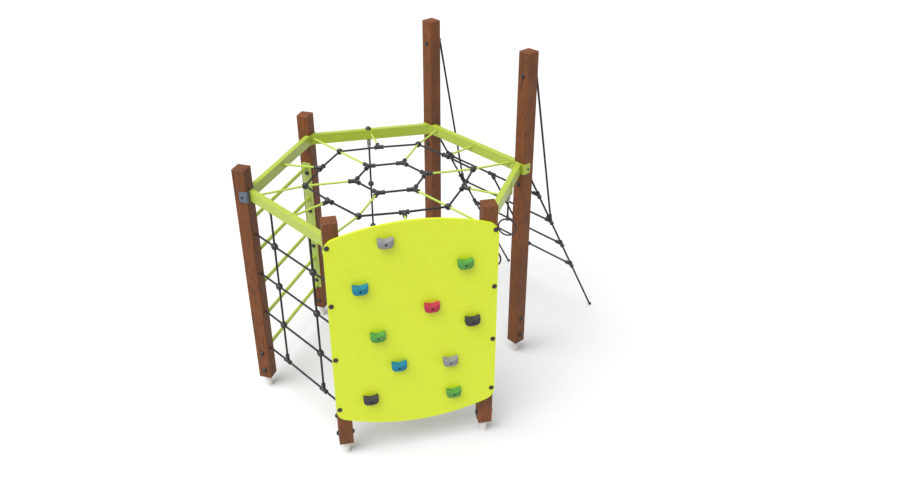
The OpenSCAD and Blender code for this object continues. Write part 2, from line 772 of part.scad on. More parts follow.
module rope_hanger() color(rope_black) place() at_rope() {
  under_beam = beam_z - rope_pin_z;
  fixed_eye(under_beam - 1);
  translate([0, 0, under_beam - 3]) cylinder(h = 3, r = 14);
  translate([0, 0, under_beam - 2]) cylinder(h = beam_h + 6, r = bolt_r);
  translate([0, 0, beam_top - rope_pin_z]) dome_cap(rope_cap_r, rope_cap_h);
}

module rope_swivel() color("#8c8c8c") place() at_rope() swivel_block();
module rope_ferrule() color("#8c8c8c") place() at_rope()
  ferrule(rope_ferrule_low - rope_pin_z, rope_route[0].z - rope_pin_z, rope_r);

// Tube along a route that runs straight down, with one level ring at each point
module hanging_tube(points, r, sides) {
  last = len(points) - 1;
  corners = [for (p = points, k = [0:sides - 1]) p + r * [cos(360 * k / sides), sin(360 * k / sides), 0]];
  walls = [for (i = [0:last - 1], k = [0:sides - 1])
    let (n = (k + 1) % sides, a = i * sides, b = a + sides) [a + k, a + n, b + n, b + k]];
  top = [[for (k = [sides - 1:-1:0]) k]];
  bottom = [[for (k = [0:sides - 1]) last * sides + k]];
  polyhedron(corners, concat(top, walls, bottom));
}

// The route with a point added half-way between each two
function doubled(p) = concat([for (i = [0:len(p) - 2]) each [p[i], (p[i] + p[i + 1]) / 2]], [p[len(p) - 1]]);

module climbing_rope() color(rope_black) place() hanging_tube(doubled(rope_route), rope_r, rope_sides);

module rope_knots() color(rope_black) place() translate([rope_x, rope_y, 0]) difference() {
  end_z = rope_route[len(rope_route) - 1].z;
  union() {
    for (z = knot_z) translate([0, 0, z]) sphere(r = knot_d / 2);
    translate([0, 0, end_z - 5]) cylinder(h = 45, r = rope_end_cap_r);
  }
  translate([0, 0, end_z - fit]) cylinder(h = 2000, r = rope_r + fit);
}

// ---- Hand rings ----

module at_ring(i) on_side(side_bf) translate([ring_x[i], -beam_inset, ring_pin_z]) children();

// Strap round the lower half of the beam, with an eye under it
module ring_hanger() {
  strap_half = 18;
  strap_t = 5;
  low = beam_z - ring_pin_z;
  top = low + beam_h - 12;
  inner = beam_w / 2;
  translate([-strap_half, inner, -6]) cube([2 * strap_half, strap_t, top + 6]);
  translate([-strap_half, -inner - strap_t, low - strap_t]) cube([2 * strap_half, strap_t, top - low + strap_t]);
  translate([-strap_half, -inner - 1, low - strap_t]) cube([2 * strap_half, beam_w + 2, strap_t]);
  fixed_eye(low - 2);
  translate([0, 0, low + beam_h / 2]) {
    cylinder_y(bolt_r, beam_w + 2);
    for (s = [-1, 1]) rotate([90 * s, 0, 0]) translate([0, 0, inner + strap_t - 1]) dome_cap(10, 7);
  }
}

module ring_hangers() color(pale_green) place() for (i = [0, 1]) at_ring(i) ring_hanger();
module ring_swivel(i) color("#8c8c8c") place() at_ring(i) swivel_block();
module ring_ferrule(i) color("#8c8c8c") place() at_ring(i)
  ferrule(ring_ferrule_low - ring_pin_z, ring_ferrule_low - ring_pin_z + 15, ring_rope_r);

module hand_ring_shape(bar) translate([0, 0, ring_z - ring_pin_z]) rotate([0, 90, 0]) torus(ring_r, bar);

// Drop rope with the moulded eye that closes round the ring's bar
module ring_rope(i) color(rope_black) place() at_ring(i) difference() {
  eye_z = ring_z + ring_r - ring_pin_z;
  union() {
    translate([0, 0, eye_z]) cylinder(h = ring_ferrule_low + 15 - ring_pin_z - eye_z, r = ring_rope_r);
    translate([0, 0, eye_z]) cylinder_y(12, 18);
    translate([0, 0, eye_z]) cylinder(h = 34, r = 10);
  }
  hand_ring_shape(ring_bar_r + fit);
}

module hand_ring(i) color(rope_black) place() at_ring(i) hand_ring_shape(ring_bar_r);

module ring_swivel_1() ring_swivel(0);
module ring_swivel_2() ring_swivel(1);
module ring_ferrule_1() ring_ferrule(0);
module ring_ferrule_2() ring_ferrule(1);
module ring_rope_1() ring_rope(0);
module ring_rope_2() ring_rope(1);
module hand_ring_1() hand_ring(0);
module hand_ring_2() hand_ring(1);

post_a();
post_b();
post_c();
post_d();
post_e();
post_f();
foot_tubes();
foot_bolts();
beam_ab();
beam_bf();
beam_fe();
beam_ed();
beam_dc();
beam_ca();
beam_brackets();
bracket_screws();
climbing_panel();
panel_bolts();
holds_grey();
holds_green();
holds_blue();
holds_red();
holds_charcoal();
hold_bolts();
net_uprights();
net_rungs();
net_connectors();
ladder_plate_c();
ladder_plate_d();
ladder_rungs();
ladder_bolts();
web_outer_ropes();
web_inner_ropes();
web_radial_ropes();
web_short_ropes();
web_balls();
web_tees();
web_wyes();
web_eyelets();
ramp_side_ropes();
ramp_inner_ropes();
ramp_stay_ropes();
ramp_connectors();
ramp_eye_bolts();
ramp_thimbles();
ramp_ground_plugs();
rope_hanger();
rope_swivel();
rope_ferrule();
climbing_rope();
rope_knots();
ring_hangers();
ring_swivel_1();
ring_swivel_2();
ring_ferrule_1();
ring_ferrule_2();
ring_rope_1();
ring_rope_2();
hand_ring_1();
hand_ring_2();
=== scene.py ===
# %% [markdown]
# # A six-post play climber, dressed in Blender
# The imported model gives every solid of the climber: posts, ring beams, climbing
# panel, nets, ladder, rope web and the pieces that hang. This lesson keeps the
# solids whose shape is right, rebuilds the ones that need a softer or a finer
# shape, and gives each one a procedural finish.

# %% Load the frame
import functools
import math

import bmesh
import bpy
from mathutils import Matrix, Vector


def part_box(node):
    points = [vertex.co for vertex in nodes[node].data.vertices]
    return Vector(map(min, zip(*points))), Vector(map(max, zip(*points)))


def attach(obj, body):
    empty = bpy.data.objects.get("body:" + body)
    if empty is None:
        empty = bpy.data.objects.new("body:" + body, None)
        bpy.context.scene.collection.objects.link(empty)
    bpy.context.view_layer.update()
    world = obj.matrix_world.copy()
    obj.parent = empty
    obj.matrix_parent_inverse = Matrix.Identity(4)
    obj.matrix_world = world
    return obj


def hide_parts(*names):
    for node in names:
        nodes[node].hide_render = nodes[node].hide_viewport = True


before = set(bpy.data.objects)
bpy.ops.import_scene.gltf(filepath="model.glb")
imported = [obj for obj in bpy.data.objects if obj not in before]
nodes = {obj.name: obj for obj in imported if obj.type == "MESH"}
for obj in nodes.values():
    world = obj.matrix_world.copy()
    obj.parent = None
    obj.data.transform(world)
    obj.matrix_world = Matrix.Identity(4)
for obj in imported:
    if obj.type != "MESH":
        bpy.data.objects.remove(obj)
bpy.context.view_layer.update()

# %% [markdown]
# ## The camera
# The camera looks down on the climber from the front left. Its place is given
# from the middle of the hexagon of posts, on the ground, and the middle comes
# from the feet of two opposite posts. The lens and the tilt are those of a
# catalogue view: 35 mm, about thirty degrees down.

# %% Camera
@functools.cache
def middle(node):
    low, high = (Vector(corner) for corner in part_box(node))
    return (low + high) / 2


HEX_MIDDLE = (middle("post_c") + middle("post_f")) / 2
HEX_MIDDLE.z = 0
CAMERA_FROM_MIDDLE = Vector((-0.81196, -5.51819, 4.40563))
CAMERA_TILT = math.radians(90 - 30.566)
CAMERA_HEADING = math.radians(-12.863)

camera_data = bpy.data.cameras.new("camera")
camera_data.lens = 34.904
camera_data.sensor_width = 36
camera = bpy.data.objects.new("camera", camera_data)
camera.location = HEX_MIDDLE + CAMERA_FROM_MIDDLE
camera.rotation_euler = (CAMERA_TILT, 0, CAMERA_HEADING)
bpy.context.scene.collection.objects.link(camera)
bpy.context.scene.camera = camera
print("hexagon's middle:", tuple(round(v, 4) for v in HEX_MIDDLE))

# %% [markdown]
# ## Shader maths as plain Python
# A material here is written as a formula. One small class wraps an output
# socket and turns `+`, `-`, `*` and `/` into Math nodes, and one method makes
# any other node. The patterns all read Object coordinates, which are metres in
# the climber's own frame, so every scale below is a real size.

# %% Shader helper
class Wire:
    def __init__(self, paint, socket):
        self.paint = paint
        self.socket = socket

    def math(self, operation, other=0.0, swapped=False, clamp=False):
        pair = (other, self) if swapped else (self, other)
        settings = {"operation": operation, "use_clamp": clamp}
        return self.paint.make("ShaderNodeMath", settings, {0: pair[0], 1: pair[1]})

    def __add__(self, other):
        return self.math("ADD", other)

    def __sub__(self, other):
        return self.math("SUBTRACT", other)

    def __rsub__(self, other):
        return self.math("SUBTRACT", other, swapped=True)

    def __mul__(self, other):
        return self.math("MULTIPLY", other)

    def __truediv__(self, other):
        return self.math("DIVIDE", other)

    def __pow__(self, other):
        return self.math("POWER", other)

    __radd__ = __add__
    __rmul__ = __mul__


class Paint:
    """A material, its node tree and the few nodes that every finish needs."""

    def __init__(self, name):
        self.material = bpy.data.materials.new(name)
        self.material.use_nodes = True
        self.nodes = self.material.node_tree.nodes
        self.links = self.material.node_tree.links
        self.shader = self.nodes["Principled BSDF"]

    def make(self, kind, settings=None, values=None, output=0):
        node = self.nodes.new(kind)
        for key, value in (settings or {}).items():
            setattr(node, key, value)
        for key, value in (values or {}).items():
            self.plug(node.inputs[key], value)
        return Wire(self, node.outputs[output])

    def plug(self, socket, value):
        if isinstance(value, Wire):
            self.links.new(value.socket, socket)
        else:
            socket.default_value = value

    def coords(self, scale=(1, 1, 1), shift=(0, 0, 0), turn=(0, 0, 0)):
        place = self.make("ShaderNodeTexCoord", output="Object")
        moved = self.make("ShaderNodeVectorMath", {"operation": "ADD"}, {0: place, 1: shift})
        return self.make("ShaderNodeMapping", None, {"Vector": moved, "Rotation": turn, "Scale": scale})

    def noise(self, where, scale, detail=4.0, rough=0.55, warp=0.0):
        values = {"Vector": where, "Scale": scale, "Detail": detail, "Roughness": rough, "Distortion": warp}
        return self.make("ShaderNodeTexNoise", None, values)

    def spread(self, value, low, high):
        """value, from low to high, stretched over 0 to 1."""
        return self.make("ShaderNodeMapRange", {"interpolation_type": "SMOOTHSTEP"},
                         {"Value": value, "From Min": low, "From Max": high})

    def mix(self, mask, first, second):
        colours = [(*c, 1) if isinstance(c, tuple) else c for c in (first, second)]
        return self.make("ShaderNodeMix", {"data_type": "RGBA"}, {0: mask, 6: colours[0], 7: colours[1]}, 2)

    def bump(self, height, strength, distance):
        values = {"Height": height, "Strength": strength, "Distance": distance}
        return self.make("ShaderNodeBump", None, values)

    def finish(self, **sockets):
        for key, value in sockets.items():
            name = key.replace("_", " ").title().replace("Ior", "IOR")
            if isinstance(value, tuple) and len(value) == 3:
                value = (*value, 1)
            self.plug(self.shader.inputs[name], value)
        return self.material


def linear(red, green, blue):
    """A screen colour, 0 to 255, as linear values."""
    return tuple(((v / 255 + 0.055) / 1.055) ** 2.4 if v > 10 else v / 255 / 12.92 for v in (red, green, blue))


print("shader helper ready")

# %% [markdown]
# ## Sawn and stained wood
# The posts are square timber with a red-brown stain. Timber is a solid
# material: the year rings are cylinders round a pith, and a sawn face shows
# where it cuts them. So the pattern is built in space, as a distance from the
# pith that is warped a little along the length, and the same formula gives
# streaks down the faces and rings on the top. Each post gets its own pith.

# %% Wood finish
def wood(name, post, pith, turn):
    paint = Paint(name)
    place = middle(post)
    centred = paint.coords(shift=(-place.x + pith[0], -place.y + pith[1], pith[0] * 9), turn=(0, 0, turn))

    def drawn_out(squeeze):
        """The post's coordinates squeezed lengthwise, so that a pattern runs along the grain."""
        return paint.make("ShaderNodeMapping", None, {"Vector": centred, "Scale": (1, 1, squeeze)})

    along = drawn_out(0.06)
    flat = drawn_out(0)
    pith_distance = paint.make("ShaderNodeVectorMath", {"operation": "LENGTH"}, {0: flat}, "Value")
    wander = paint.noise(along, 14.0, 3.0)
    rings = ((pith_distance + wander * 0.05) * (2 * math.pi / 0.0085)).math("SINE")
    fibres = paint.noise(drawn_out(0.012), 520.0, 3.0)
    pores = paint.noise(drawn_out(0.035), 260.0, 2.0)
    stain = paint.noise(centred, 3.2, 4.0)
    checks = paint.noise(drawn_out(0.018), 70.0, 2.0)
    flecks = paint.noise(drawn_out(0.17), 78.0, 4.0, 0.6, 0.4)
    late_wood = paint.spread(rings, -0.2, 1.0)
    split = paint.spread(checks, 0.700, 0.735)
    body = paint.mix(paint.spread(stain, 0.30, 0.72), linear(98, 51, 8), linear(121, 63, 12))
    grained = paint.mix(late_wood * 0.45, body, linear(74, 35, 5))
    combed = paint.mix(paint.spread(fibres, 0.42, 0.72) * 0.35, grained, linear(130, 73, 18))
    flecked = paint.mix(paint.spread(flecks, 0.50, 0.64) * 0.6, combed, linear(58, 27, 4))
    pored = paint.mix(paint.spread(pores, 0.56, 0.70) * 0.5, flecked, linear(50, 24, 4))
    colour = paint.mix(split * 0.8, pored, linear(32, 18, 9))
    height = fibres * 0.5 + rings * 0.12 - split * 1.5 - paint.spread(pores, 0.56, 0.7) * 0.3
    return paint.finish(
        base_color=colour,
        roughness=0.62 + 0.18 * fibres - 0.1 * late_wood,
        normal=paint.bump(height, 0.35, 0.0012),
    )


POST_PITHS = {
    "post_a": (0.031, 0.022, 0.0), "post_b": (-0.026, 0.035, 0.0),
    "post_c": (0.040, -0.018, math.radians(30)), "post_d": (-0.034, -0.030, math.radians(30)),
    "post_e": (0.022, 0.041, math.radians(60)), "post_f": (-0.043, 0.016, math.radians(60)),
}
WOOD = {post: wood(post + " stained wood", post, data[:2], data[2]) for post, data in POST_PITHS.items()}
print("wood for", len(WOOD), "posts")

# %% [markdown]
# ## Powder coat, plastic and cast resin
# Powder coat and moulded plastic are one even colour, and what shows that
# they are real is the surface: a fine orange peel, a little dust, and a gloss
# that is not the same everywhere. One function gives that family. Cast resin
# for the holds is sandy, so it gets a coarser grain and a duller gloss.

# %% Coatings
def coating(name, colour, gloss, peel_mm, peel_depth, dust=0.12, metal=0.0, coat=0.0, speck=0.0):
    paint = Paint(name)
    where = paint.coords()
    peel = paint.noise(where, 1000.0 / peel_mm, 2.0)
    cloud = paint.noise(where, 5.5, 5.0)
    film = paint.noise(where, 38.0, 4.0)
    dusty = paint.spread(cloud, 0.45, 0.8) * paint.spread(film, 0.35, 0.75) * dust
    tint = tuple(min(1.0, 0.72 * c + 0.10) for c in colour)
    toned = paint.mix(paint.spread(film, 0.3, 0.7) * 0.22, colour, tuple(c * 0.86 for c in colour))
    base = paint.mix(dusty, toned, tint)
    if speck:
        grains = paint.noise(where, 900.0, 1.0)
        pale_grain = tuple(min(1, c * 1.7 + 0.04) for c in colour)
        base = paint.mix(paint.spread(grains, 0.60, 0.68) * speck, base, pale_grain)
    return paint.finish(
        base_color=base,
        roughness=gloss + dusty * 0.8 + film * 0.10,
        metallic=metal,
        coat_weight=coat,
        normal=paint.bump(peel, 0.25, peel_depth),
    )


LIME_PAINT = coating("lime powder coat", (0.335, 0.425, 0.036), 0.34, 1.6, 0.0002, coat=0.15)
PALE_PAINT = coating("pale lime powder coat", (0.33, 0.42, 0.085), 0.40, 1.6, 0.0002)
SLATE_PAINT = coating("slate blue powder coat", linear(85, 92, 108), 0.42, 1.6, 0.0002)
PANEL_PLASTIC = coating("lime sheet plastic", (0.565, 0.665, 0.014), 0.42, 2.6, 0.00025, dust=0.06)
DARK_PLASTIC = coating("black moulded plastic", linear(36, 37, 38), 0.44, 0.9, 0.00015, dust=0.12)
CAP_PLASTIC = coating("black cap plastic", linear(30, 30, 28), 0.34, 1.4, 0.0001, dust=0.08)
PALE_FOOT = coating("pale foot coating", linear(211, 208, 206), 0.38, 2.0, 0.0003, dust=0.3)
STEEL = coating("turned steel", linear(178, 180, 184), 0.30, 0.5, 0.0001, dust=0.1, metal=1.0)
DARK_STEEL = coating("dark steel", linear(66, 68, 72), 0.36, 0.5, 0.0001, dust=0.1, metal=1.0)
GREY_METAL = coating("grey cast fitting", linear(150, 150, 150), 0.38, 0.8, 0.0002, metal=0.6)
RESINS = {
    "holds_grey": coating("grey resin", linear(126, 126, 128), 0.70, 1.1, 0.0007, dust=0.05, speck=0.25),
    "holds_green": coating("green resin", linear(72, 136, 56), 0.70, 1.1, 0.0007, dust=0.05, speck=0.25),
    "holds_blue": coating("blue resin", linear(2, 111, 138), 0.70, 1.1, 0.0007, dust=0.02, speck=0.25),
    "holds_red": coating("red resin", linear(166, 36, 62), 0.70, 1.1, 0.0007, dust=0.05, speck=0.25),
    "holds_charcoal": coating("charcoal resin", linear(48, 48, 49), 0.72, 1.1, 0.0007, dust=0.05, speck=0.25),
}
print("coatings ready")

# %% [markdown]
# ## Laid rope
# The nets are steel-cored rope with six outer strands of fibre. The strands
# are real geometry, made further down, and each point of that mesh carries two
# values: how far along the rope it is, and how near it is to the groove
# between two strands. The finish reads them to draw the fibres with a painted
# highlight and to paint shade into the grooves.

# %% Rope finish
def rope_finish(name, colour, highlight_and_wear):
    paint = Paint(name)
    along = paint.make("ShaderNodeAttribute", {"attribute_name": "along"}, output="Fac")
    groove = paint.make("ShaderNodeAttribute", {"attribute_name": "groove"}, output="Fac")
    where = paint.coords()
    fibre = ((along * 5200.0 + groove * 5.0)).math("SINE")
    fuzz = paint.noise(where, 900.0, 2.0)
    wear = paint.noise(where, 24.0, 4.0)
    # painted highlight: the fibre streaks are mixed towards a lighter colour
    lit = paint.mix(paint.spread(fibre, -0.6, 1.0) * 0.5, colour, highlight_and_wear)
    # real wear, mixed towards the same lighter colour as the painted fibre highlight
    highlit_and_worn = paint.mix(paint.spread(wear, 0.5, 0.8) * 0.35, lit, highlight_and_wear)
    # painted shade: the grooves between strands are darkened to 35 % of the rope colour
    base = paint.mix(paint.spread(groove, 0.55, 1.0) * 0.75, highlit_and_worn, tuple(c * 0.35 for c in colour))
    return paint.finish(
        base_color=base,
        roughness=0.72 + 0.2 * fuzz,
        normal=paint.bump(fibre * 0.5 + fuzz * 0.5, 0.35, 0.0006),
    )


# the second colour of each rope is its painted fibre highlight, also used for its worn patches
BLACK_ROPE = rope_finish("black laid rope", linear(34, 35, 36), linear(58, 59, 61))
GREEN_ROPE = rope_finish("lime laid rope", linear(168, 192, 70), linear(206, 224, 122))
print("rope finishes ready")

# %% [markdown]
# ## Finding the bars inside a node
# A node such as the side net holds many separate bars. Instead of repeating
# their ends, the script reads them from the solids: it merges a copy of the
# mesh, splits it into islands, and takes the middle of each end. That keeps
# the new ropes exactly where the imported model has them.

# %% Read solids
def merged_copy(node):
    mesh = bmesh.new()
    mesh.from_mesh(nodes[node].data)
    bmesh.ops.remove_doubles(mesh, verts=mesh.verts, dist=1e-6)
    return mesh


@functools.cache
def islands(node):
    """The corner points of each separate solid of a node."""
    mesh = merged_copy(node)
    seen = set()
    groups = []
    for start in mesh.verts:
        if start.index in seen:
            continue
        stack = [start]
        seen.add(start.index)
        group = []
        while stack:
            vert = stack.pop()
            group.append(vert.co.copy())
            for edge in vert.link_edges:
                other = edge.other_vert(vert)
                if other.index not in seen:
                    seen.add(other.index)
                    stack.append(other)
        groups.append(group)
    mesh.free()
    return groups


def bar_ends(points):
    """The two end centres of a straight bar, from its corner points."""
    centre = sum(points, Vector()) / len(points)
    far = max(points, key=lambda p: (p - centre).length_squared)
    axis = (far - centre).normalized()
    ends = [[p for p in points if (p - centre).dot(axis) * side > 0] for side in (-1, 1)]
    return [sum(end, Vector()) / len(end) for end in ends]


def bars(*names):
    return [bar_ends(points) for name in names for points in islands(name)]


print("side net bars:", len(bars("net_rungs", "net_uprights")))

# %% [markdown]
# ## Geometry Nodes that lay a rope along a line
# A rope's shape follows a rule: a ring of six round strands that turns as it
# goes along. The tree turns edges into curves, resamples them, twists them by
# their length, and sweeps a six-lobed ring. The ring is a circle whose points
# are pulled in at the grooves. It is the right tool here because the same
# tree serves every net, and the sizes are named inputs.

# %% Rope tree
def new_tree(name, inputs):
    tree = bpy.data.node_groups.new(name, "GeometryNodeTree")
    tree.interface.new_socket("Geometry", in_out="INPUT", socket_type="NodeSocketGeometry")
    for label, kind, value in inputs:
        socket = tree.interface.new_socket(label, in_out="INPUT", socket_type=kind)
        if value is not None:
            socket.default_value = value
    tree.interface.new_socket("Geometry", in_out="OUTPUT", socket_type="NodeSocketGeometry")
    return tree


class Tree:
    """Makes nodes in a geometry tree: settings first, then values or links."""

    def __init__(self, tree):
        self.tree = tree
        self.start = tree.nodes.new("NodeGroupInput")
        self.end = tree.nodes.new("NodeGroupOutput")

    def make(self, kind, settings=None, values=None):
        node = self.tree.nodes.new(kind)
        for key, value in (settings or {}).items():
            setattr(node, key, value)
        for key, value in (values or {}).items():
            if isinstance(value, bpy.types.NodeSocket):
                self.tree.links.new(value, node.inputs[key])
            else:
                node.inputs[key].default_value = value
        return node

    def sum(self, operation, first, second=0.0):
        return self.make("ShaderNodeMath", {"operation": operation}, {0: first, 1: second}).outputs[0]

    def close(self, geometry, material):
        real = self.make("GeometryNodeRealizeInstances", None, {"Geometry": geometry})
        dressed = self.make("GeometryNodeSetMaterial", None, {"Geometry": real.outputs[0], "Material": material})
        self.tree.links.new(dressed.outputs[0], self.end.inputs[0])


POINTS_PER_STRAND = 5


def build_rope_tree():
    inputs = [
        ("Radius", "NodeSocketFloat", 0.008), ("Strands", "NodeSocketInt", 6),
        ("Groove Depth", "NodeSocketFloat", 0.17), ("Lay Length", "NodeSocketFloat", 0.09),
        ("Step", "NodeSocketFloat", 0.008), ("Material", "NodeSocketMaterial", None),
    ]
    t = Tree(new_tree("laid rope", inputs))
    socket = t.start.outputs
    ring_points = t.sum("MULTIPLY", socket["Strands"], POINTS_PER_STRAND)
    ring = t.make("GeometryNodeCurvePrimitiveCircle", None, {"Resolution": ring_points, "Radius": socket["Radius"]})
    index = t.make("GeometryNodeInputIndex").outputs[0]
    in_strand = t.sum("FRACT", t.sum("DIVIDE", index, POINTS_PER_STRAND))
    round_strand = t.sum("SINE", t.sum("MULTIPLY", in_strand, math.pi))
    keep = t.sum("SUBTRACT", 1.0, t.sum("MULTIPLY", socket["Groove Depth"], t.sum("SUBTRACT", 1.0, round_strand)))
    where = t.make("GeometryNodeInputPosition").outputs[0]
    pulled = t.make("ShaderNodeVectorMath", {"operation": "SCALE"}, {0: where, "Scale": keep}).outputs[0]
    lobed = t.make("GeometryNodeSetPosition", None, {"Geometry": ring.outputs[0], "Position": pulled})
    near_groove = t.sum("ABSOLUTE", t.sum("SUBTRACT", t.sum("MULTIPLY", in_strand, 2.0), 1.0))
    marked = t.make("GeometryNodeStoreNamedAttribute", {"data_type": "FLOAT", "domain": "POINT"},
                    {"Geometry": lobed.outputs[0], "Name": "groove", "Value": near_groove})
    line = t.make("GeometryNodeMeshToCurve", None, {"Mesh": socket["Geometry"]})
    even = t.make("GeometryNodeResampleCurve", {"mode": "LENGTH"},
                  {"Curve": line.outputs[0], "Length": socket["Step"]})
    run = t.make("GeometryNodeSplineParameter").outputs["Length"]
    measured = t.make("GeometryNodeStoreNamedAttribute", {"data_type": "FLOAT", "domain": "POINT"},
                      {"Geometry": even.outputs[0], "Name": "along", "Value": run})
    turn = t.sum("MULTIPLY", t.sum("DIVIDE", run, socket["Lay Length"]), 2 * math.pi)
    twisted = t.make("GeometryNodeSetCurveTilt", None, {"Curve": measured.outputs[0], "Tilt": turn})
    swept = t.make("GeometryNodeCurveToMesh", None,
                   {"Curve": twisted.outputs[0], "Profile Curve": marked.outputs[0], "Fill Caps": True})
    smooth = t.make("GeometryNodeSetShadeSmooth", None, {"Geometry": swept.outputs[0]})
    t.close(smooth.outputs[0], socket["Material"])
    return t.tree


ROPE_TREE = build_rope_tree()


def add_object(name, mesh):
    piece = bpy.data.objects.new(name, mesh)
    bpy.context.scene.collection.objects.link(piece)
    return piece


def grow(name, mesh, tree, values):
    """Runs a geometry tree over a mesh and returns the result as a plain object."""
    seed = add_object(name + " seed", mesh)
    modifier = seed.modifiers.new("grow", "NODES")
    modifier.node_group = tree
    for item in tree.interface.items_tree:
        if item.in_out == "INPUT" and item.name in values:
            modifier[item.identifier] = values[item.name]
    seed.update_tag()
    graph = bpy.context.evaluated_depsgraph_get()
    result = bpy.data.meshes.new_from_object(seed.evaluated_get(graph), depsgraph=graph)
    result.name = name
    bpy.data.objects.remove(seed)
    return add_object(name, result)


def line_mesh(runs):
    mesh = bpy.data.meshes.new("runs")
    points = [p for run in runs for p in run]
    edges = []
    start = 0
    for run in runs:
        edges += [(start + i, start + i + 1) for i in range(len(run) - 1)]
        start += len(run)
    mesh.from_pydata(points, edges, [])
    return mesh


def lay_rope(name, runs, material, radius=0.008, step=0.008):
    values = {"Radius": radius, "Strands": 6, "Groove Depth": 0.17, "Lay Length": radius * 11,
              "Step": step, "Material": material}
    piece = grow(name, line_mesh(runs), ROPE_TREE, values)
    print(name, "-", len(runs), "runs,", len(piece.data.polygons), "faces")
    return piece


# %% [markdown]
# ## The climbing rope
# The climbing rope hangs from the beam at the back, straight down under its
# own weight, with three ball knots and a capped end.

# %% Climbing rope
ROPE_X, ROPE_Y = -0.020, 0.837
ROPE_HEIGHTS = (1.56, 1.48, 1.40, 1.32, 1.24, 1.16, 1.08, 1.00, 0.92, 0.84,
                0.76, 0.68, 0.60, 0.52, 0.44, 0.36, 0.30)
rope_route = [Vector((ROPE_X, ROPE_Y, z)) + HEX_MIDDLE for z in ROPE_HEIGHTS]
climbing_rope = lay_rope("climbing_rope_laid", [rope_route], BLACK_ROPE)


def revolve(profile, centre, axis=Vector((0, 0, 1)), steps=32):
    """A closed solid turned from (radius, height) points about an axis through centre."""
    mesh = bmesh.new()
    turn = axis.normalized().to_track_quat("Z", "Y")
    rings = []
    for radius, height in profile:
        if radius < 1e-7:
            rings.append([mesh.verts.new(centre + turn @ Vector((0, 0, height)))])
            continue
        rings.append([
            mesh.verts.new(centre + turn @ Vector((
                radius * math.cos(math.tau * k / steps), radius * math.sin(math.tau * k / steps), height)))
            for k in range(steps)
        ])
    for low, high in zip(rings, rings[1:]):
        for k in range(steps):
            n = (k + 1) % steps
            corners = [low[k % len(low)], low[n % len(low)], high[n % len(high)], high[k % len(high)]]
            unique = list(dict.fromkeys(corners))
            if len(unique) > 2:
                mesh.faces.new(unique)
    bmesh.ops.recalc_face_normals(mesh, faces=mesh.faces)
    return mesh


def to_piece(name, mesh, material, smooth_angle=35):
    data = bpy.data.meshes.new(name)
    mesh.to_mesh(data)
    mesh.free()
    for face in data.polygons:
        face.use_smooth = True
    data.set_sharp_from_angle(angle=math.radians(smooth_angle))
    piece = add_object(name, data)
    piece.data.materials.append(material)
    return piece


def joined(meshes):
    whole = bmesh.new()
    for part in meshes:
        data = bpy.data.meshes.new("part")
        part.to_mesh(data)
        part.free()
        whole.from_mesh(data)
        bpy.data.meshes.remove(data)
    return whole


def knot_profile(radius, rope):
    """Half a section of a moulded ball with a seam at its middle and a short neck at each end."""
    neck = rope + 0.0025
    reach = math.sqrt(radius ** 2 - neck ** 2)
    arc = [(radius * math.cos(a), radius * math.sin(a)) for a in
           [math.asin(reach / radius) * (k / 9 * 2 - 1) for k in range(10)]]
    seam = [(radius * 0.998, -0.0012), (radius * 0.965, -0.0006), (radius * 0.965, 0.0006), (radius * 0.998, 0.0012)]
    lower = [p for p in arc if p[1] < -0.002]
    upper = [p for p in arc if p[1] > 0.002]
    ends = [(rope * 0.8, -reach), (neck * 0.97, -reach)]
    return ends + lower + seam + upper + [(neck * 0.97, reach), (rope * 0.8, reach)]


knot_meshes = []
for points in islands("rope_knots"):
    low = min(p.z for p in points)
    high = max(p.z for p in points)
    centre = Vector((rope_route[0].x, rope_route[0].y, (low + high) / 2))
    wide = max((p - centre).xy.length for p in points)
    if wide > 0.015:
        knot_meshes.append(revolve(knot_profile(wide, 0.008), centre))
    else:
        half = (high - low) / 2
        cap = [(0, -half), (wide * 0.7, -half), (wide, -half + 0.004), (wide, -0.004), (wide * 0.94, -0.003),
               (wide * 0.94, 0.001), (wide, 0.002), (wide * 0.98, half - 0.002), (wide * 0.85, half), (0.006, half)]
        knot_meshes.append(revolve(cap, centre))
rope_knots = to_piece("rope_ball_knots", joined(knot_meshes), DARK_PLASTIC)
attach(climbing_rope, "rope_drop")
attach(rope_knots, "rope_drop")
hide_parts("climbing_rope")
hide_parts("rope_knots")

# %% [markdown]
# ## The nets and the web
# Every bar of the nets becomes a laid rope at the same place. The side net,
# the rope web and the inclined net are one piece each for each colour.

# %% Lay the nets
NETS = [
    ("side_net_ropes", ("net_uprights", "net_rungs"), BLACK_ROPE, "black_rope"),
    ("web_black_ropes", ("web_outer_ropes", "web_inner_ropes"), BLACK_ROPE, "black_rope"),
    ("web_green_ropes", ("web_radial_ropes", "web_short_ropes"), GREEN_ROPE, "green_rope"),
    ("inclined_net_ropes", ("ramp_side_ropes", "ramp_inner_ropes", "ramp_stay_ropes"), BLACK_ROPE, "black_rope"),
]
for name, sources, material, slot in NETS:
    piece = lay_rope(name, bars(*sources), material)
    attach(piece, "climber_frame")
    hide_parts(*sources)

# %% [markdown]
# ## Rope connectors: collars and screws
# Where ropes meet they are held by moulded clamps. The clamps themselves come
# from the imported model. What makes them read as moulded parts is a rounded
# collar at each mouth and a countersunk screw on top, so a second tree copies
# one collar or one screw to many points, turned to each point's direction.

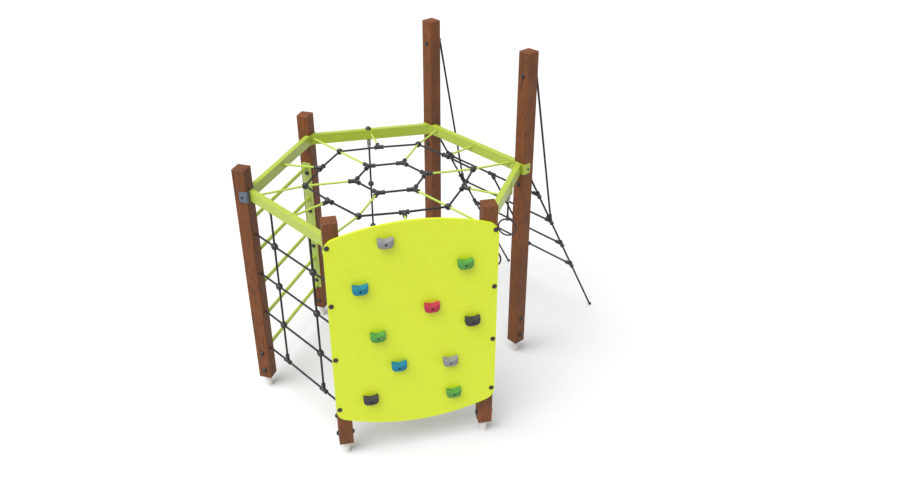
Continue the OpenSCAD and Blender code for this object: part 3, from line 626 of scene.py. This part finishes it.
# %% Copy tree
def build_copy_tree():
    inputs = [("Pattern", "NodeSocketObject", None), ("Material", "NodeSocketMaterial", None)]
    t = Tree(new_tree("copies on points", inputs))
    socket = t.start.outputs
    pattern = t.make("GeometryNodeObjectInfo", None, {"Object": socket["Pattern"]}).outputs["Geometry"]
    facing = t.make("GeometryNodeInputNamedAttribute", {"data_type": "FLOAT_VECTOR"}, {"Name": "facing"}).outputs[0]
    size = t.make("GeometryNodeInputNamedAttribute", {"data_type": "FLOAT"}, {"Name": "size"}).outputs[0]
    turn = t.make("FunctionNodeAlignRotationToVector", {"axis": "Z"}, {"Vector": facing}).outputs[0]
    copies = t.make("GeometryNodeInstanceOnPoints", None,
                    {"Points": socket["Geometry"], "Instance": pattern, "Rotation": turn, "Scale": size})
    t.close(copies.outputs[0], socket["Material"])
    return t.tree


COPY_TREE = build_copy_tree()


def copy_to(name, pattern, places, material):
    """places holds (point, direction, size) for each copy."""
    mesh = bpy.data.meshes.new(name + " points")
    mesh.from_pydata([p for p, _, _ in places], [], [])
    facing = mesh.attributes.new("facing", "FLOAT_VECTOR", "POINT")
    facing.data.foreach_set("vector", [c for _, d, _ in places for c in d])
    size = mesh.attributes.new("size", "FLOAT", "POINT")
    size.data.foreach_set("value", [s for _, _, s in places])
    piece = grow(name, mesh, COPY_TREE, {"Pattern": pattern, "Material": material})
    print(name, "-", len(places), "copies")
    return piece


def pattern_object(name, profile, steps):
    mesh = revolve(profile, Vector(), steps=steps)
    return to_piece(name, mesh, DARK_PLASTIC)


# Unit patterns: radius 1 is the arm's radius, or the screw head's radius
COLLAR = [(0.62, -0.55), (1.03, -0.55), (1.10, -0.38), (1.12, -0.15), (1.10, 0.02), (1.0, 0.12), (0.62, 0.12)]
SCREW = [(0, -0.5), (1.0, -0.5), (1.0, 0.10), (0.86, 0.24), (0.46, 0.28), (0.42, -0.02), (0, -0.06)]
collar_pattern = pattern_object("collar pattern", COLLAR, 20)
screw_pattern = pattern_object("screw pattern", SCREW, 12)


def mouths(ropes, clamps):
    """(point, direction, radius) of each clamp mouth that a rope comes out of."""
    solids = [points for clamp in clamps for points in islands(clamp)]
    hearts = [sum(points, Vector()) / len(points) for points in solids]
    found = []
    for ends in bars(*ropes):
        for start, other in (ends, ends[::-1]):
            out = (other - start).normalized()
            for points, heart in zip(solids, hearts):
                if (heart - start).length > 0.07:
                    continue
                near = [p for p in points if (p - start - out * (p - start).dot(out)).length < 0.0165]
                ahead = [p for p in near if 0 <= (p - start).dot(out) < 0.06]
                if not ahead or min((p - start).length for p in points) > 0.03:
                    continue
                tip = max((p - start).dot(out) for p in ahead)
                rim = [p for p in ahead if (p - start).dot(out) > tip - 0.002]
                radius = max((p - start - out * (p - start).dot(out)).length for p in rim)
                found.append((start + out * tip, out, radius))
                break
    return found


CLAMPS = {
    "side_net": (("net_uprights", "net_rungs"), ("net_connectors",)),
    "web": (("web_outer_ropes", "web_inner_ropes", "web_radial_ropes", "web_short_ropes"),
            ("web_balls", "web_tees", "web_wyes")),
    "inclined_net": (("ramp_side_ropes", "ramp_inner_ropes", "ramp_stay_ropes"), ("ramp_connectors",)),
}
ramp_out = Vector((math.cos(math.radians(30)), math.sin(math.radians(30)), 0)) * 0.868 + Vector((0, 0, 0.497))
SCREW_FACING = {
    "side_net": Vector((math.cos(math.radians(210)), math.sin(math.radians(210)), 0)),
    "web": Vector((0, 0, 1)),
    "inclined_net": ramp_out.normalized(),
}
for name, (ropes, clamps) in CLAMPS.items():
    collars = copy_to(name + "_collars", collar_pattern, mouths(ropes, clamps), DARK_PLASTIC)
    screws = []
    facing = SCREW_FACING[name]
    for clamp in clamps:
        for points in islands(clamp):
            centre = sum((Vector((max(p[i] for p in points) + min(p[i] for p in points), 0, 0)).x / 2 * unit
                          for i, unit in enumerate((Vector((1, 0, 0)), Vector((0, 1, 0)), Vector((0, 0, 1))))), Vector())
            line = [p for p in points if (p - centre - facing * (p - centre).dot(facing)).length < 0.016]
            top = max(((p - centre).dot(facing) for p in line), default=0.012)
            screws.append((centre + facing * (top - 0.001), facing, 0.005))
    heads = copy_to(name + "_screws", screw_pattern, screws, STEEL)
    for piece, slot in ((collars, "black_plastic"), (heads, "bolt_steel")):
        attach(piece, "climber_frame")
for pattern in (collar_pattern, screw_pattern):
    bpy.data.objects.remove(pattern)

# %% [markdown]
# ## Softened solids
# Real sheet, tube and plate have broken edges. The panel, the beams and the
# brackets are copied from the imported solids, their flat faces are joined up
# again, and the sharp edges get a small bevel. The holds are cast in a mould,
# so they are remeshed finely and smoothed, which rounds every corner.

# %% Bevelled copies
def dress(piece, material):
    piece.data.materials.clear()
    piece.data.materials.append(material)


def bevelled(node, width, material, body="climber_frame", segments=3):
    mesh = merged_copy(node)
    bmesh.ops.dissolve_limit(mesh, angle_limit=math.radians(1.0), verts=mesh.verts, edges=mesh.edges)
    piece = to_piece(node + "_finished", mesh, material, 40)
    modifier = piece.modifiers.new("broken edges", "BEVEL")
    modifier.width = width
    modifier.segments = segments
    modifier.limit_method = "ANGLE"
    modifier.angle_limit = math.radians(50)
    modifier.harden_normals = True
    graph = bpy.context.evaluated_depsgraph_get()
    piece.data = bpy.data.meshes.new_from_object(piece.evaluated_get(graph), depsgraph=graph)
    piece.modifiers.clear()
    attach(piece, body)
    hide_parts(node)
    return piece


bevelled("climbing_panel", 0.0025, PANEL_PLASTIC)
for node in ("beam_ab", "beam_bf", "beam_fe", "beam_ed", "beam_dc", "beam_ca"):
    bevelled(node, 0.0035, LIME_PAINT)
for node in ("ladder_plate_c", "ladder_plate_d"):
    bevelled(node, 0.0012, PALE_PAINT, segments=2)
# The bracket on the left front post is slate blue, and the other five are lime
brackets = bevelled("beam_brackets", 0.001, LIME_PAINT, segments=2)
brackets.data.materials.append(SLATE_PAINT)
front_left = middle("post_c")
for face in brackets.data.polygons:
    if (face.center - front_left).xy.length < 0.2:
        face.material_index = 1
print("panel, beams, plates and brackets softened")

# %% Cast holds
def cast(node, material, voxel=0.0022):
    mesh = merged_copy(node)
    piece = to_piece(node + "_cast", mesh, material, 180)
    remesh = piece.modifiers.new("recast", "REMESH")
    remesh.mode = "VOXEL"
    remesh.voxel_size = voxel
    remesh.use_smooth_shade = True
    soft = piece.modifiers.new("soften", "SMOOTH")
    soft.factor = 0.5
    soft.iterations = 7
    graph = bpy.context.evaluated_depsgraph_get()
    piece.data = bpy.data.meshes.new_from_object(piece.evaluated_get(graph), depsgraph=graph)
    piece.modifiers.clear()
    dress(piece, material)
    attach(piece, "climber_frame")
    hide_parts(node)
    print(node, len(piece.data.polygons), "faces")


for node, material in RESINS.items():
    cast(node, material)

# %% [markdown]
# ## Hand rings
# A hand ring is a moulded plastic ring with grip ribs round the lower half and
# a smooth part where the rope's eye closes round it. The ribs follow the
# ring, so they are a wave on the bar's radius.

# %% Hand rings
def hand_ring(node, name):
    points = [p for solid in islands(node) for p in solid]
    centre = middle(node)
    top = max(points, key=lambda p: p.z)
    outer = top.z - centre.z
    inner = min((p - centre).length for p in points)
    bar = (outer - inner) / 2
    ring = outer - bar
    across = max(points, key=lambda p: (p - centre).xy.length) - centre
    across.z = 0
    across.normalize()
    side = across.cross(Vector((0, 0, 1)))
    mesh = bmesh.new()
    loops = []
    around, bar_steps = 192, 20
    for k in range(around):
        angle = math.tau * k / around
        out = across * math.cos(angle) + Vector((0, 0, 1)) * math.sin(angle)
        ribbed = 0.5 - 0.5 * math.tanh((math.sin(angle) - 0.1) * 8)
        rib = 1 - 0.07 * ribbed * (0.5 + 0.5 * math.cos(angle * 64))
        seam = [1 - 0.05 * math.exp(-((math.sin(math.tau * j / bar_steps)) * 6) ** 2) for j in range(bar_steps)]
        loops.append([
            mesh.verts.new(centre + out * (ring + bar * rib * seam[j] * math.cos(math.tau * j / bar_steps))
                           + side * bar * rib * seam[j] * math.sin(math.tau * j / bar_steps))
            for j in range(bar_steps)
        ])
    for k in range(around):
        for j in range(bar_steps):
            n, m = (k + 1) % around, (j + 1) % bar_steps
            mesh.faces.new([loops[k][j], loops[n][j], loops[n][m], loops[k][m]])
    bmesh.ops.recalc_face_normals(mesh, faces=mesh.faces)
    return to_piece(name, mesh, DARK_PLASTIC, 180)


def drop_rope(number):
    """The rope between a ring's ferrule and its eye, with the moulded eye."""
    body = f"ring_drop_{number}"
    low, high = (Vector(c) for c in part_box(f"ring_rope_{number}"))
    centre = middle(f"ring_rope_{number}")
    ring_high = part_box(f"hand_ring_{number}")[1]
    top = Vector((centre.x, centre.y, high.z))
    eye_top = Vector((centre.x, centre.y, ring_high.z + 0.024))
    rope = lay_rope(f"ring_{number}_rope", [[eye_top, top]], BLACK_ROPE, radius=0.007, step=0.005)
    neck = [(0.003, 0.0), (0.0102, 0.0), (0.0108, 0.003), (0.0098, 0.012), (0.0085, 0.026), (0.0078, 0.034),
            (0.0055, 0.035)]
    sleeve = revolve(neck, Vector((centre.x, centre.y, ring_high.z - 0.002)))
    ring_centre = middle(f"hand_ring_{number}")
    points = islands(f"hand_ring_{number}")[0]
    across = max(points, key=lambda p: (p - ring_centre).xy.length) - ring_centre
    across.z = 0
    barrel = [(0.0064, -0.009), (0.0105, -0.009), (0.012, -0.007), (0.012, -0.0015), (0.0114, -0.001),
              (0.0114, 0.001), (0.012, 0.0015), (0.012, 0.007), (0.0105, 0.009), (0.0064, 0.009)]
    eye = revolve(barrel, Vector((centre.x, centre.y, ring_high.z - 0.006)), across)
    moulding = to_piece(f"ring_{number}_eye", joined([sleeve, eye]), DARK_PLASTIC)
    for piece, slot in ((rope, "black_rope"), (moulding, "black_plastic")):
        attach(piece, body)
    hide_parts(f"ring_rope_{number}")
    ring = hand_ring(f"hand_ring_{number}", f"hand_ring_{number}_ribbed")
    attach(ring, body)
    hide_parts(f"hand_ring_{number}")


for number in (1, 2):
    drop_rope(number)

# %% [markdown]
# ## Finishes for the solids that stay
# The posts, bolts, rungs and fittings already have their true shape, so they
# only change material.

# %% Dress the remaining solids
KEPT = {
    **{post: WOOD[post] for post in WOOD},
    "foot_tubes": PALE_FOOT, "foot_bolts": CAP_PLASTIC, "bracket_screws": CAP_PLASTIC,
    "panel_bolts": CAP_PLASTIC, "ladder_bolts": CAP_PLASTIC, "rope_hanger": CAP_PLASTIC,
    "ring_hangers": PALE_PAINT, "ladder_rungs": LIME_PAINT,
    "hold_bolts": DARK_STEEL, "ramp_eye_bolts": CAP_PLASTIC, "ramp_thimbles": STEEL,
    "rope_swivel": GREY_METAL, "rope_ferrule": GREY_METAL,
    "ring_swivel_1": GREY_METAL, "ring_swivel_2": GREY_METAL,
    "ring_ferrule_1": GREY_METAL, "ring_ferrule_2": GREY_METAL,
    "net_connectors": DARK_PLASTIC, "web_balls": DARK_PLASTIC, "web_tees": DARK_PLASTIC,
    "web_wyes": DARK_PLASTIC, "web_eyelets": LIME_PAINT, "ramp_connectors": DARK_PLASTIC,
    "ramp_ground_plugs": DARK_PLASTIC,
}
for node, material in KEPT.items():
    dress(nodes[node], material)
print(len(KEPT), "solids dressed")

# %% [markdown]
# ## Studio
# A plain pale floor, an even sky and one broad sun. The sun stands high on the
# front left, so the tops of the beams are the brightest faces, the panel comes
# next and the right sides of the posts are darkest. It is wide, so shadows are
# soft and only show near the feet.

# %% Studio
def studio_floor():
    mesh = bpy.data.meshes.new("floor")
    half = 30
    mesh.from_pydata([(-half, -half, 0), (half, -half, 0), (half, half, 0), (-half, half, 0)], [], [(0, 1, 2, 3)])
    floor = add_object("floor", mesh)
    paint = Paint("pale floor")
    speckle = paint.noise(paint.coords(), 6.0, 3.0)
    floor.data.materials.append(paint.finish(
        base_color=paint.mix(speckle, (0.60, 0.60, 0.60), (0.62, 0.62, 0.62)), roughness=0.9))


def broad_sun(elevation, azimuth, spread, strength):
    data = bpy.data.lights.new("broad sun", "SUN")
    data.angle = math.radians(spread)
    data.energy = strength
    lamp = bpy.data.objects.new("broad sun", data)
    lamp.rotation_euler = (0, math.radians(90 - elevation), math.radians(azimuth))
    bpy.context.scene.collection.objects.link(lamp)


studio_floor()
broad_sun(62, 215, 50, 4.1)
world = bpy.data.worlds.new("bright sky")
world.use_nodes = True
world.node_tree.nodes["Background"].inputs["Color"].default_value = (1.0, 1.0, 1.0, 1)
world.node_tree.nodes["Background"].inputs["Strength"].default_value = 0.62
bpy.context.scene.world = world
bpy.context.scene.view_settings.view_transform = "Standard"
print("studio ready")
